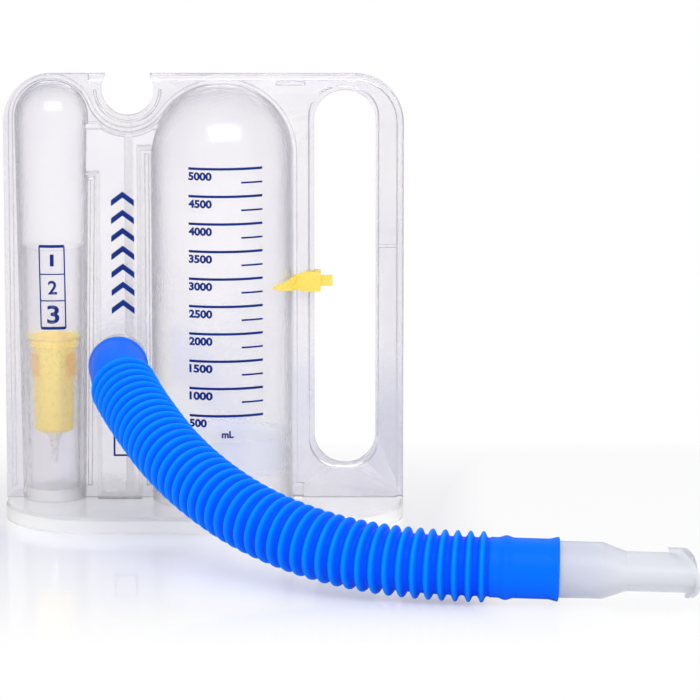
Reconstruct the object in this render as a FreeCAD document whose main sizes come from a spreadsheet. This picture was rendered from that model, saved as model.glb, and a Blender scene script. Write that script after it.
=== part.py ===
import FreeCAD, Part
import functools
import math
import os
import re
import Sketcher

# Breathing exerciser (incentive spirometer), in millimetres, +Z up, front towards -Y.
# The origin is the middle of the foot's underside, and the two housing halves meet in the plane Y = 0.
# Every size below is one cell of the spreadsheet. Each object reads the cells through its expressions.

SIZES = [
    # Housing outline
    ("housing_width", 167.4), ("housing_top", 186.5), ("corner_left", 20.1), ("corner_right", 20.5),
    ("flange", 1.8), ("shell_wall", 1.2),
    # Foot
    ("foot_depth", 92), ("foot_side", 6.5), ("foot_height", 6.7), ("foot_wall", 1.8), ("foot_edge", 1.5),
    ("collar_wall", 1.4), ("collar_gap", 1.35), ("collar_height", 13), ("socket_wall", 0.8),
    ("socket_gap", 0.2), ("socket_room", 0.35), ("socket_height", 4.8), ("inlet_radius", 5),
    ("vent_radius", 2.6), ("vent_circle", 15), ("vent_count", 6), ("skirt_slot", 12), ("skirt_slot_rise", 2),
    ("skirt_slot_place", 30),
    # Flow tube and volume cylinder
    ("flow_radius", 15.5), ("flow_foot_radius", 13.3), ("flow_crown", 2.7),
    ("volume_radius", 29.55), ("volume_crown", 4.2),
    # Air channel between the tubes, and its openings into both domes
    ("flow_land", 3.1), ("channel_width", 18.3), ("channel_land", 4.5), ("channel_half", 6),
    ("channel_wall", 1.2), ("rib_width", 3.2), ("lane_right", 2), ("lane_drop", 23.3), ("lane_rise", 3.25),
    ("passage_reach", 4),
    # Rest for the hose in the top edge
    ("notch_shift", 4.15), ("notch_drop", 6.6), ("notch_radius", 10.9), ("notch_ear", 1.5),
    ("notch_wall", 18.5), ("notch_shoulder", 11.8), ("notch_step", 13.6), ("notch_step_width", 1.2),
    ("notch_step_rise", 0.5),
    # Hose port
    ("port_shift", 0.55), ("port_height", 59.7), ("port_wall", 1.6), ("port_reach", 32), ("port_grip", 10),
    # Finger opening, grip limb and the rail of the pointer
    ("rail_land", 6.8), ("rail_width", 2.6), ("grip_width", 11.8), ("opening_sill", 14.6),
    ("opening_drop", 6.7), ("inner_rim", 1.5), ("sill_rim", 2), ("rim_rise", 1), ("outer_rim", 3.1),
    ("grip_rib_height", 107), ("grip_rib", 1.4), ("rail_gap_drop", 5.4), ("rail_gap", 5.1),
    # Weld beads
    ("bead_width", 2), ("bead_rise", 0.6), ("bead_lift", 4.8), ("bead_gap", 1.6), ("bevel", 30),
    ("key_width", 4.7), ("key_height", 6.1), ("slot_gap", 1), ("slot_length", 12.6), ("slot_drop", 3.3),
    ("slot_width", 1.7),
    # Metering tube
    ("meter_height", 107), ("meter_room", 1.06), ("meter_wall", 0.6), ("meter_foot_wall", 0.85),
    ("seat_height", 68.3), ("seat_ledge", 0.6),
    # Float
    ("rest_gap", 0.3), ("float_depth", 40), ("float_flange_thick", 0.9), ("float_wall", 0.9),
    ("float_foot_round", 2.2), ("float_draft", 0.35), ("ring_room", 0.4), ("ring_step", 1.45),
    ("ring_drop", 1.9), ("ring_thick", 0.6), ("ring_gap", 0.5), ("band_step", 0.7), ("band_drop", 6.1),
    ("band_height", 9.8), ("window_half", 3),
    # Stem below the float
    ("stem_length", 14.5), ("stem_collar", 3.4), ("stem_collar_height", 2.3), ("stem_radius", 2.3),
    ("stem_tip", 1.1),
    # Piston
    ("piston_gap", 0.45), ("piston_height", 15), ("piston_wall", 1), ("piston_land", 1.8),
    ("piston_relief", 0.6), ("piston_dish", 1.2), ("piston_shoulder", 5.9), ("piston_web", 1.2),
    ("piston_web_depth", 6),
    # Goal pointer
    ("pointer_z", 99.2), ("pointer_height", 8.4), ("pointer_fit", 0.3), ("pointer_wall", 1.4),
    ("pointer_hug", 0.9), ("pointer_thick", 1.3), ("pointer_turn", 44.65), ("pointer_tip_height", 1),
    ("pointer_web", 2.3), ("tab_reach", 5), ("tab_height", 4.5), ("tab_thick", 1.6), ("hook", 0.9),
    # Hose with its two smooth cuffs
    ("hose_crest", 27.7), ("cuff_length", 27), ("cuff_bore", 22.3), ("cuff_fit", 0.15), ("cuff_wall", 0.6),
    ("cuff_rim_rise", 0.8), ("cuff_rim_length", 5), ("hose_end_x", 142),
    # Mouthpiece
    ("mouth_insert", 18.5), ("mouth_wall", 1.5), ("mouth_round", 16.8), ("mouth_taper", 9.2),
    ("mouth_oval", 28), ("mouth_oval_high", 15.2), ("mouth_oval_end", 5.5), ("lip_high", 19),
    ("lip_wide", 29), ("lip_end", 7.5), ("lip_thick", 1.6), ("lip_curve", 12.1), ("lip_drop", 1.55),
]

# Places and sizes that follow from the cells, each written as an expression
PLACES = {
    "near_half": "0.49",
    "half_width": "housing_width / 2",
    "half_depth": "foot_depth / 2",
    "cut_room": "2 * volume_radius",
    "foot_corner": "half_depth - foot_side",
    "plate_low": "foot_height - foot_wall",
    # Across, from the left: flow tube, channel, cylinder, rail, finger opening, grip
    "flow_x": "corner_left - half_width",
    "channel_left": "flow_x + flow_radius + flow_land",
    "channel_x": "channel_left + channel_width / 2",
    "channel_right": "channel_left + channel_width",
    "rib_x": "channel_right - channel_wall - lane_right - rib_width / 2",
    "volume_x": "channel_right + channel_land + volume_radius",
    "rail_left": "volume_x + volume_radius + rail_land",
    "opening_left": "rail_left + rail_width",
    "opening_right": "half_width - grip_width",
    "opening_corner": "(opening_right - opening_left) * near_half",
    "notch_x": "channel_x + notch_shift",
    "port_x": "channel_x + port_shift",
    "key_left": "volume_x + volume_radius",
    "slot_right": "rail_left - slot_gap",
    # Up
    "flow_dome": "housing_top - flow_crown - flow_radius",
    "volume_dome": "housing_top - volume_crown - volume_radius",
    "passage_flow": "flow_dome - lane_drop",
    "passage_volume": "volume_dome + lane_rise",
    "notch_z": "housing_top - notch_drop",
    "opening_low": "foot_height + opening_sill",
    "opening_high": "housing_top - opening_drop",
    "grip_rib_z": "foot_height + grip_rib_height",
    "bead_foot": "foot_height + bead_lift",
    "bead_flow": "flow_radius + bead_gap",
    "bead_notch": "sqrt((notch_x - flow_x) ^ 2 + (notch_z - flow_dome) ^ 2) - bead_flow",
    "bead_volume": "sqrt((volume_x - notch_x) ^ 2 + (notch_z - volume_dome) ^ 2) - bead_notch",
    "rim_half": "flange + rim_rise",
    "port_z": "foot_height + port_height",
    # Rings on the foot, metering tube, float and piston
    "collar": "volume_radius - shell_wall - collar_gap",
    "collar_top": "foot_height + collar_height",
    "socket": "flow_foot_radius - shell_wall - socket_room",
    "meter_foot_radius": "socket - socket_wall - socket_gap",
    "meter_foot_bore": "meter_foot_radius - meter_foot_wall",
    "meter_seat": "foot_height + seat_height",
    "meter_top": "foot_height + meter_height",
    "flow_slope": "(flow_radius - flow_foot_radius) / (flow_dome - foot_height)",
    "meter_base": "flow_foot_radius - shell_wall - meter_room",
    "meter_seat_radius": "meter_base + flow_slope * seat_height",
    "meter_top_radius": "meter_base + flow_slope * meter_height",
    "float_flange": "meter_seat_radius - meter_wall - rest_gap",
    "meter_bore": "float_flange - seat_ledge",
    "float_ring": "meter_bore - ring_room",
    "float_band": "float_ring - band_step",
    "float_radius": "float_ring - ring_step",
    "float_rest": "meter_seat + rest_gap",
    "float_top": "float_rest + float_flange_thick",
    "float_foot": "float_rest - float_depth",
    "ring_top": "float_rest - ring_drop",
    "ring_low": "ring_top - 2 * ring_thick - ring_gap",
    "band_top": "float_rest - band_drop",
    "band_low": "band_top - band_height",
    "stem_foot": "float_foot - stem_length",
    "piston_foot": "collar_top + rest_gap",
    "piston_top": "piston_foot + piston_height",
    "piston_radius": "volume_radius - shell_wall - piston_gap",
    "piston_dish_radius": "piston_radius - piston_shoulder",
    # Push fits of the hose
    "port_radius": "cuff_bore / 2 - cuff_fit",
    "port_bore": "port_radius - port_wall",
    "mouth_radius": "cuff_bore / 2 - cuff_fit",
    "cuff_radius": "cuff_bore / 2 + cuff_wall",
    "cuff_rim": "cuff_radius + cuff_rim_rise",
    "hose_start_y": "port_reach - port_grip",
}

DERIVED = re.compile(r"\b(" + "|".join(PLACES) + r")\b")
ALIASES = re.compile(r"\b(" + "|".join(alias for alias, value in SIZES) + r")\b")
SLICE = 0.01
BEND_SHARE = 0.45
UP = FreeCAD.Vector(0, 0, 1)

doc = FreeCAD.newDocument("Spirometer")
sheet = doc.addObject("Spreadsheet::Sheet", "Sizes")
for row, (alias, value) in enumerate(SIZES, start=1):
    sheet.set("A%d" % row, alias)
    sheet.set("B%d" % row, str(value))
    sheet.setAlias("B%d" % row, alias)
doc.recompute()


def bound(text):
    """The expression with every derived place written out, and every alias turned into its cell."""
    while DERIVED.search(text):
        text = DERIVED.sub(lambda found: "(%s)" % PLACES[found.group()], text)
    return ALIASES.sub(r"Sizes.\g<0>", text)


@functools.lru_cache(maxsize=None)
def number(text):
    """The expression's value now, in millimetres."""
    return float(sheet.evalExpression(bound(text)))


def bind(item, **expressions):
    """Binds the object's properties to expressions on the cells."""
    for name, text in expressions.items():
        item.setExpression(name, bound(text))


def new_body(name):
    """An empty body whose label is the name of its file."""
    body = doc.addObject("PartDesign::Body", "Body_" + name)
    body.Label = name
    return body


def sketch_on(body, name, plane, across="0", up="0", out="0"):
    """A sketch on one of the body's own origin planes, moved by the given expressions in the sketch's axes."""
    sketch = body.newObject("Sketcher::SketchObject", name)
    support = [item for item in body.Origin.OriginFeatures if item.Role == plane][0]
    sketch.AttachmentSupport = [(support, "")]
    sketch.MapMode = "FlatFace"
    for axis, text in (("x", across), ("y", up), ("z", out)):
        sketch.setExpression(".AttachmentOffset.Base." + axis, bound(text))
    return sketch


def pin_point(sketch, edge, end, across, up):
    """Two dimensions that hold one end of an edge, both bound to expressions."""
    for kind, text in (("DistanceX", across), ("DistanceY", up)):
        index = sketch.addConstraint(Sketcher.Constraint(kind, edge, end, number(text)))
        sketch.setExpression("Constraints[%d]" % index, bound(text))


def arc_between(first, last, radius, turn):
    """The shorter arc from first to last; turn is 1 for anticlockwise and -1 for clockwise."""
    if turn < 0:
        first, last = last, first
    chord = last - first
    rise = math.sqrt(max(radius ** 2 - chord.Length ** 2 / 4, 0))
    left = FreeCAD.Vector(-chord.y, chord.x, 0).normalize()
    centre = (first + last) / 2 + left * rise
    start = math.atan2(first.y - centre.y, first.x - centre.x)
    stop = math.atan2(last.y - centre.y, last.x - centre.x)
    circle = Part.Circle(centre, FreeCAD.Vector(0, 0, 1), radius)
    return Part.ArcOfCircle(circle, start, stop)


def outline(sketch, corners):
    """Closed outline through the corners. A corner is (across, up), or (across, up, radius, turn) where an arc
    leads on to the next corner."""
    points = [FreeCAD.Vector(number(corner[0]), number(corner[1]), 0) for corner in corners]
    ends = []
    for place, corner in enumerate(corners):
        here, there = points[place], points[(place + 1) % len(points)]
        if len(corner) == 2:
            edge = sketch.addGeometry(Part.LineSegment(here, there), False)
            ends.append((edge, 1, 2))
        else:
            edge = sketch.addGeometry(arc_between(here, there, number(corner[2]), corner[3]), False)
            ends.append((edge, 1, 2) if corner[3] > 0 else (edge, 2, 1))
            index = sketch.addConstraint(Sketcher.Constraint("Radius", edge, number(corner[2])))
            sketch.setExpression("Constraints[%d]" % index, bound(corner[2]))
    for place, corner in enumerate(corners):
        edge, start, stop = ends[place]
        following = ends[(place + 1) % len(ends)]
        sketch.addConstraint(Sketcher.Constraint("Coincident", edge, stop, following[0], following[1]))
        pin_point(sketch, edge, start, corner[0], corner[1])


def circle(sketch, across, up, radius):
    """A full circle held by its centre and radius."""
    centre = FreeCAD.Vector(number(across), number(up), 0)
    edge = sketch.addGeometry(Part.Circle(centre, FreeCAD.Vector(0, 0, 1), number(radius)), False)
    pin_point(sketch, edge, 3, across, up)
    index = sketch.addConstraint(Sketcher.Constraint("Radius", edge, number(radius)))
    sketch.setExpression("Constraints[%d]" % index, bound(radius))


def through_both(body, kind, sketch, half_height):
    """Pad or pocket of a sketch by the same height to both sides of its plane."""
    feature = body.newObject("PartDesign::" + kind, sketch.Name + "_" + kind)
    feature.Profile = sketch
    feature.SideType = "Symmetric"
    bind(feature, Length="2 * (%s)" % half_height)
    return feature


def one_way(body, kind, sketch, length, flip=False):
    """Pad or pocket of a sketch to one side only."""
    feature = body.newObject("PartDesign::" + kind, sketch.Name + "_" + kind)
    feature.Profile = sketch
    feature.Reversed = flip
    bind(feature, Length=length)
    return feature


def turned(body, kind, sketch):
    """Full revolution or groove about the sketch's own upright axis."""
    feature = body.newObject("PartDesign::" + kind, sketch.Name + "_" + kind)
    feature.Profile = sketch
    feature.ReferenceAxis = (sketch, ["V_Axis"])
    feature.Angle = 360
    return feature


def front_outline(body, name, corners):
    """Sketch in the seam plane with one closed outline."""
    sketch = sketch_on(body, name, "XZ_Plane")
    outline(sketch, corners)
    return sketch


def box_corners(left, low, right, high):
    """Four corners of an upright rectangle."""
    return [(left, low), (right, low), (right, high), (left, high)]


def rounded_box(left, low, right, high, radius):
    """Rectangle with four equal round corners, from the lower left, anticlockwise."""
    return [("%s + %s" % (left, radius), low),
            ("%s - %s" % (right, radius), low, radius, 1), (right, "%s + %s" % (low, radius)),
            (right, "%s - %s" % (high, radius), radius, 1), ("%s - %s" % (right, radius), high),
            ("%s + %s" % (left, radius), high, radius, 1), (left, "%s - %s" % (high, radius)),
            (left, "%s + %s" % (low, radius), radius, 1)]


def flange_outline():
    """The housing's outline: square at the foot, and a round corner of its own at each side of the top."""
    return [("-half_width", "foot_height"), ("half_width", "foot_height"),
            ("half_width", "housing_top - corner_right", "corner_right", 1),
            ("half_width - corner_right", "housing_top"),
            ("-half_width + corner_left", "housing_top", "corner_left", 1),
            ("-half_width", "housing_top - corner_left")]


def tube_section(foot_radius, radius, dome, foot, inset):
    """Half section of a domed, tapered tube, inset by a wall. Its round top is a quarter circle."""
    inner = "(%s - %s)" % (radius, inset)
    return [("0", foot), ("%s - %s" % (foot_radius, inset), foot), (inner, dome, inner, 1),
            ("0", "%s + %s" % (dome, inner))]


def on_circle(radius, across, side):
    """Height of a circle round the notch's centre at the given distance across, below or above the centre."""
    return "notch_z %s sqrt(%s ^ 2 - (%s - notch_x) ^ 2)" % (side, radius, across)


def channel_outline():
    """The raised block between the tubes, with an arm into each dome and a round top under the notch."""
    left_end, right_end = "(flow_x + flow_radius - passage_reach)", "(volume_x - volume_radius + passage_reach)"
    shoulder, far_shoulder = "(channel_left + channel_wall)", "(notch_x + notch_shoulder)"
    return [("channel_left", "foot_height"), ("channel_right", "foot_height"),
            ("channel_right", "passage_volume - channel_wall"), (right_end, "passage_volume - channel_wall"),
            (right_end, on_circle("notch_wall", far_shoulder, "-")),
            (far_shoulder, on_circle("notch_wall", far_shoulder, "-"), "notch_wall", -1),
            (shoulder, on_circle("notch_wall", shoulder, "-")),
            (left_end, on_circle("notch_wall", shoulder, "-")),
            (left_end, "passage_flow - channel_wall"), ("channel_left", "passage_flow - channel_wall")]


def left_lane():
    """Air space from the flow tube's dome down the left of the rib."""
    reach = "(flow_x + flow_radius - shell_wall - 2 * passage_reach)"
    wall, roof = "(channel_left + channel_wall)", "(notch_wall + channel_wall)"
    rib, shoulder = "(rib_x - rib_width / 2)", "(channel_left + 2 * channel_wall)"
    return [(wall, "foot_height + channel_wall"), (rib, "foot_height + channel_wall"),
            (rib, on_circle(roof, rib, "-"), roof, -1), (shoulder, on_circle(roof, shoulder, "-")),
            (reach, on_circle(roof, shoulder, "-")), (reach, "passage_flow"), (wall, "passage_flow")]


def right_lane():
    """Air space from the volume cylinder's dome down the right of the rib."""
    reach = "(volume_x - volume_radius + shell_wall + 2 * passage_reach)"
    wall, roof = "(channel_right - channel_wall)", "(notch_wall + channel_wall)"
    rib, shoulder = "(rib_x + rib_width / 2)", "(notch_x + notch_shoulder - channel_wall)"
    return [(rib, "foot_height + channel_wall"), (wall, "foot_height + channel_wall"),
            (wall, "passage_volume"), (reach, "passage_volume"), (reach, on_circle(roof, shoulder, "-")),
            (shoulder, on_circle(roof, shoulder, "-"), roof, -1), (rib, on_circle(roof, rib, "-"))]


def add_tubes(body):
    """Outsides of the flow tube and the volume cylinder, and of the channel block between them."""
    sketch = sketch_on(body, body.Label + "_flow", "XZ_Plane", across="flow_x")
    outline(sketch, tube_section("flow_foot_radius", "flow_radius", "flow_dome", "foot_height", "0"))
    turned(body, "Revolution", sketch)
    sketch = sketch_on(body, body.Label + "_volume", "XZ_Plane", across="volume_x")
    outline(sketch, tube_section("volume_radius", "volume_radius", "volume_dome", "foot_height", "0"))
    turned(body, "Revolution", sketch)
    through_both(body, "Pad", front_outline(body, body.Label + "_channel", channel_outline()), "channel_half")


def raised(body, front, name, corners, height, foot="flange"):
    """A bevelled pad on one face of the flange. Its sides lean in, as a mould needs them to."""
    sketch = sketch_on(body, "%s_%s" % (body.Label, name), "XZ_Plane", out=foot if front else "-%s" % foot)
    outline(sketch, corners)
    pad = one_way(body, "Pad", sketch, height, not front)
    bind(pad, TaperAngle="-bevel * 1deg")
    return pad


def add_rims(body, front):
    """The stiff rim round the finger opening, the rim along the top and the grip's outer edge, and its rib."""
    rim = rounded_box("rail_left", "(opening_low - sill_rim)", "(opening_right + inner_rim)",
                      "(opening_high + inner_rim)", "opening_corner")
    raised(body, front, "opening_rim", rim, "rim_rise")
    inner = "(corner_right - outer_rim)"
    edge = "(half_width - outer_rim)"
    start = "notch_x"
    outer = [(start, "housing_top - outer_rim"), (edge + " - " + inner, "housing_top - outer_rim", inner, -1),
             (edge, "housing_top - corner_right"), (edge, "foot_height"), ("half_width", "foot_height"),
             ("half_width", "housing_top - corner_right", "corner_right", 1),
             ("half_width - corner_right", "housing_top"), (start, "housing_top")]
    raised(body, front, "edge_rim", outer, "rim_rise")
    raised(body, front, "top_rim", box_corners("flow_x + flow_radius", "housing_top - outer_rim", start,
                                               "housing_top"), "bead_rise")
    rib = box_corners("opening_right", "grip_rib_z - grip_rib / 2", edge + " + bead_rise",
                      "grip_rib_z + grip_rib / 2")
    raised(body, front, "grip_rib", rib, "bead_rise")


def touching(first, second, reach):
    """Point on the line from one circle's centre to the other's, at a distance from the first."""
    share = "(%s) / sqrt((%s - %s) ^ 2 + (%s - %s) ^ 2)" % (reach, second[0], first[0], second[1], first[1])
    return ["%s + (%s - %s) * %s" % (first[axis], second[axis], first[axis], share) for axis in (0, 1)]


def outline_bead():
    """One band of even width: up the left of the flow tube, over its dome, round the notch, over the cylinder's
    dome and down its right. Its three arcs touch each other, so only the first radius is free."""
    flow, notch, volume = ("flow_x", "flow_dome"), ("notch_x", "notch_z"), ("volume_x", "volume_dome")
    sides = []
    for side in ("+ bead_width / 2", "- bead_width / 2"):
        back = side.translate(str.maketrans("+-", "-+"))
        over_flow, over_volume = "(bead_flow %s)" % side, "(bead_volume %s)" % side
        first = touching(flow, notch, over_flow)
        second = touching(volume, notch, over_volume)
        sides.append([("flow_x - " + over_flow, "bead_foot"),
                      ("flow_x - " + over_flow, "flow_dome", over_flow, -1),
                      (first[0], first[1], "(bead_notch %s)" % back, 1),
                      (second[0], second[1], over_volume, -1),
                      ("volume_x + " + over_volume, "volume_dome"), ("volume_x + " + over_volume, "bead_foot")])
    outer, inner = sides
    returning = [(inner[5][0], inner[5][1]), (inner[4][0], inner[4][1], inner[3][2], 1),
                 (inner[3][0], inner[3][1], inner[2][2], -1), (inner[2][0], inner[2][1], inner[1][2], 1),
                 (inner[1][0], inner[1][1]), (inner[0][0], inner[0][1])]
    return outer + returning


def add_outline_bead(body, front):
    """The outline bead on the flange, with its upper edges broken by a chamfer."""
    sketch = sketch_on(body, body.Label + "_outline_bead", "XZ_Plane", out="flange" if front else "-flange")
    outline(sketch, outline_bead())
    one_way(body, "Pad", sketch, "bead_rise", not front)
    doc.recompute()
    plain = body.Tip
    top = number("flange + bead_rise")
    chamfer = body.newObject("PartDesign::Chamfer", body.Label + "_bead_edge")
    chamfer.Base = (plain, flat_edges(plain.Shape, "Y", -top if front else top))
    bind(chamfer, Size="bead_rise * tan(bevel * 1deg)")


def band(start, stop, width):
    """Upright or slightly leaning band from the lower to the upper point, with square ends."""
    return [("%s - %s / 2" % (start[0], width), start[1]), ("%s + %s / 2" % (start[0], width), start[1]),
            ("%s + %s / 2" % (stop[0], width), stop[1]), ("%s - %s / 2" % (stop[0], width), stop[1])]


def lower_ring(radius, width):
    """Lower half of a flat ring round the notch's centre."""
    wide, slim = "(%s + %s / 2)" % (radius, width), "(%s - %s / 2)" % (radius, width)
    return [("notch_x - " + wide, "notch_z", wide, 1), ("notch_x", "notch_z - " + wide, wide, 1),
            ("notch_x + " + wide, "notch_z"), ("notch_x + " + slim, "notch_z", slim, -1),
            ("notch_x", "notch_z - " + slim, slim, -1), ("notch_x - " + slim, "notch_z")]


def add_beads(body, front):
    """The step round the notch, the two beads beside the channel, the key and the slot."""
    raised(body, front, "notch_step", lower_ring("notch_step", "notch_step_width"), "notch_step_rise")
    beside = "volume_x - volume_radius - bead_gap"
    flow_top = ("flow_x + flow_radius + bead_gap", "passage_flow - channel_wall")
    volume_top = (beside, "passage_volume - channel_wall - bead_width")
    for title, start, stop in (("flow", ("flow_x + flow_foot_radius + bead_gap", "bead_foot"), flow_top),
                               ("volume", (beside, "bead_foot"), volume_top)):
        raised(body, front, title + "_bead", band(start, stop, "bead_width"), "bead_rise")
    knob = box_corners(flow_top[0] + " - bead_width", flow_top[1] + " - bead_width",
                       flow_top[0] + " + bead_width / 2", flow_top[1] + " + bead_rise")
    raised(body, front, "bead_knob", knob, "rim_rise")
    key = box_corners("key_left", "foot_height", "key_left + key_width", "foot_height + key_height")
    raised(body, front, "key", key, "rim_rise")
    slot = rounded_box("(slot_right - slot_length)", "(housing_top - slot_drop - slot_width)", "slot_right",
                       "(housing_top - slot_drop)", "(slot_width * near_half)")
    raised(body, front, "slot", slot, "bead_rise")


def hollow_out(body):
    """Insides of both tubes and the two air lanes, open to the foot only at the tubes."""
    name = body.Label
    sketch = sketch_on(body, name + "_flow_bore", "XZ_Plane", across="flow_x")
    outline(sketch, tube_section("flow_foot_radius", "flow_radius", "flow_dome", "foot_height", "shell_wall"))
    turned(body, "Groove", sketch)
    sketch = sketch_on(body, name + "_volume_bore", "XZ_Plane", across="volume_x")
    outline(sketch, tube_section("volume_radius", "volume_radius", "volume_dome", "foot_height", "shell_wall"))
    turned(body, "Groove", sketch)
    depth = "channel_half - channel_wall"
    through_both(body, "Pocket", front_outline(body, name + "_left_lane", left_lane()), depth)
    through_both(body, "Pocket", front_outline(body, name + "_right_lane", right_lane()), depth)


def cut_openings(body):
    """The notch with its rounded ears, the finger opening and the gap in the rail where the pointer goes on."""
    name = body.Label
    sketch = sketch_on(body, name + "_notch", "XZ_Plane")
    circle(sketch, "notch_x", "notch_z", "notch_radius")
    through_both(body, "Pocket", sketch, "cut_room")
    ear = "(notch_radius - notch_ear)"
    mouth = box_corners("notch_x - " + ear, "notch_z + notch_radius / 2", "notch_x + " + ear,
                        "housing_top + notch_ear")
    through_both(body, "Pocket", front_outline(body, name + "_mouth", mouth), "cut_room")
    opening = rounded_box("opening_left", "opening_low", "opening_right", "opening_high", "opening_corner")
    through_both(body, "Pocket", front_outline(body, name + "_finger_opening", opening), "cut_room")
    for title, flip in (("front", False), ("rear", True)):
        side = "flange" if not flip else "-flange"
        sketch = sketch_on(body, "%s_rail_gap_%s" % (name, title), "XZ_Plane", out=side)
        outline(sketch, box_corners("rail_left - pointer_wall", "opening_high - rail_gap_drop",
                                    "opening_left + flange", "opening_high - rail_gap_drop + rail_gap"))
        one_way(body, "Pocket", sketch, "rim_half", not flip)


def keep_half(body, front):
    """Cuts the symmetrical shell at the seam plane and keeps its front or its rear."""
    sketch = front_outline(body, body.Label + "_seam",
                           box_corners("-housing_width", "-housing_top", "housing_width", "2 * housing_top"))
    one_way(body, "Pocket", sketch, "cut_room", not front)


def add_port(body):
    """The round hose port on the channel's face, with a bore that opens into both air lanes."""
    sketch = sketch_on(body, "port", "XZ_Plane", out="channel_half - channel_wall / 2")
    circle(sketch, "port_x", "port_z", "port_radius")
    one_way(body, "Pad", sketch, "port_reach - channel_half + channel_wall / 2")
    sketch = sketch_on(body, "port_bore_hole", "XZ_Plane", out="channel_half - channel_wall * 1.5")
    circle(sketch, "port_x", "port_z", "port_bore")
    one_way(body, "Pocket", sketch, "port_reach", True)


def housing_half(name, front):
    """One moulded half. Both halves are the same shell, and the front one carries the port."""
    body = new_body(name)
    through_both(body, "Pad", front_outline(body, name + "_flange", flange_outline()), "flange")
    add_outline_bead(body, front)
    add_tubes(body)
    add_rims(body, front)
    add_beads(body, front)
    hollow_out(body)
    cut_openings(body)
    keep_half(body, front)
    if front:
        add_port(body)
    return body


def base_foot():
    """The wide foot: a tray open below, with the ring that carries the piston, the metering tube's socket, the
    air inlet, the vents and two air slots in the rear skirt."""
    body = new_body("base_foot")
    sketch = sketch_on(body, "foot_plan", "XY_Plane")
    outline(sketch, rounded_box("-half_width", "-half_depth", "half_width", "half_depth", "foot_corner"))
    one_way(body, "Pad", sketch, "foot_height")
    sketch = sketch_on(body, "foot_hollow", "XY_Plane")
    inset = "(%s - foot_wall)"
    outline(sketch, rounded_box("-" + inset % "half_width", "-" + inset % "half_depth", inset % "half_width",
                                inset % "half_depth", inset % "foot_corner"))
    one_way(body, "Pocket", sketch, "plate_low", True)
    raised_ring(body, "collar_ring", "volume_x", "collar", "collar_wall", "collar_top")
    raised_ring(body, "socket_ring", "flow_x", "socket", "socket_wall", "foot_height + socket_height")
    sketch = sketch_on(body, "air_inlet", "XY_Plane", out="foot_height")
    circle(sketch, "flow_x", "0", "inlet_radius")
    one_way(body, "Pocket", sketch, "2 * foot_wall")
    sketch = sketch_on(body, "vent", "XY_Plane", across="volume_x", out="foot_height")
    circle(sketch, "vent_circle", "0", "vent_radius")
    vent = one_way(body, "Pocket", sketch, "2 * foot_wall")
    doc.recompute()
    pattern = body.newObject("PartDesign::PolarPattern", "vents")
    pattern.Originals = [vent]
    pattern.Axis = (sketch, ["N_Axis"])
    bind(pattern, Occurrences="vent_count")
    body.Tip = pattern
    for title, side in (("left", "-1"), ("right", "1")):
        sketch = front_outline(body, "skirt_slot_" + title,
                               box_corners("%s * skirt_slot_place - skirt_slot / 2" % side, "-foot_wall",
                                           "%s * skirt_slot_place + skirt_slot / 2" % side, "skirt_slot_rise"))
        one_way(body, "Pocket", sketch, "foot_depth")
    doc.recompute()
    plain = body.Tip
    edge = body.newObject("PartDesign::Fillet", "foot_round")
    edge.Base = (plain, flat_edges(plain.Shape, "Z", number("foot_height")))
    bind(edge, Radius="foot_edge")
    return body


def raised_ring(body, name, across, outer, wall, top):
    """A ring that stands on the foot's plate."""
    sketch = sketch_on(body, name, "XY_Plane", across=across, out="plate_low")
    circle(sketch, "0", "0", outer)
    circle(sketch, "0", "0", "%s - %s" % (outer, wall))
    one_way(body, "Pad", sketch, "%s - plate_low" % top)


def flat_edges(shape, axis, level):
    """Names of the open edges in the plane across an axis at the given level. Rims of holes are closed."""
    names = []
    for index, edge in enumerate(shape.Edges, start=1):
        low, high = getattr(edge.BoundBox, axis + "Min"), getattr(edge.BoundBox, axis + "Max")
        if abs(low - level) < SLICE and abs(high - level) < SLICE and not edge.isClosed():
            names.append("Edge%d" % index)
    return names


def turned_part(name, across, sections):
    """A body turned about one upright axis from one closed half section."""
    body = new_body(name)
    sketch = sketch_on(body, name + "_section", "XZ_Plane", across=across)
    outline(sketch, sections)
    turned(body, "Revolution", sketch)
    return body


def metering_tube():
    """The tapered inner tube. Its bore narrows at a seat, on which the float's flange rests."""
    return turned_part("metering_tube", "flow_x", [
        ("meter_foot_bore", "foot_height"), ("meter_foot_radius", "foot_height"),
        ("meter_seat_radius", "meter_seat"), ("meter_top_radius", "meter_top"),
        ("meter_top_radius - meter_wall", "meter_top"), ("meter_seat_radius - meter_wall", "meter_seat"),
        ("meter_bore", "meter_seat")])


def flow_float():
    """The float: a thin cup with a flange, two fine rings and a band that is split into two windows."""
    foot = "(float_radius - float_draft)"
    inner = "(float_radius - float_wall)"
    body = turned_part("flow_float", "flow_x", [
        ("0", "float_foot"), (foot + " - float_foot_round", "float_foot", "float_foot_round", 1),
        (foot, "float_foot + float_foot_round"), ("float_radius", "band_low"), ("float_band", "band_low"),
        ("float_band", "band_top"), ("float_radius", "band_top"), ("float_radius", "ring_low"),
        ("float_ring", "ring_low"), ("float_ring", "ring_low + ring_thick"),
        ("float_radius", "ring_low + ring_thick"), ("float_radius", "ring_top - ring_thick"),
        ("float_ring", "ring_top - ring_thick"), ("float_ring", "ring_top"), ("float_radius", "ring_top"),
        ("float_radius", "float_rest"), ("float_flange", "float_rest"), ("float_flange", "float_top"),
        (inner, "float_top"), (inner, "float_foot + float_foot_round"),
        (inner + " - float_foot_round", "float_foot + float_wall"), ("0", "float_foot + float_wall")])
    for title, side, flip in (("front", "float_radius", True), ("rear", "-float_radius", False)):
        sketch = sketch_on(body, "window_gap_" + title, "XZ_Plane", across="flow_x", out=side)
        outline(sketch, box_corners("-window_half", "band_low", "window_half", "band_top"))
        one_way(body, "Pocket", sketch, "float_ring", flip)
    return body


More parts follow.
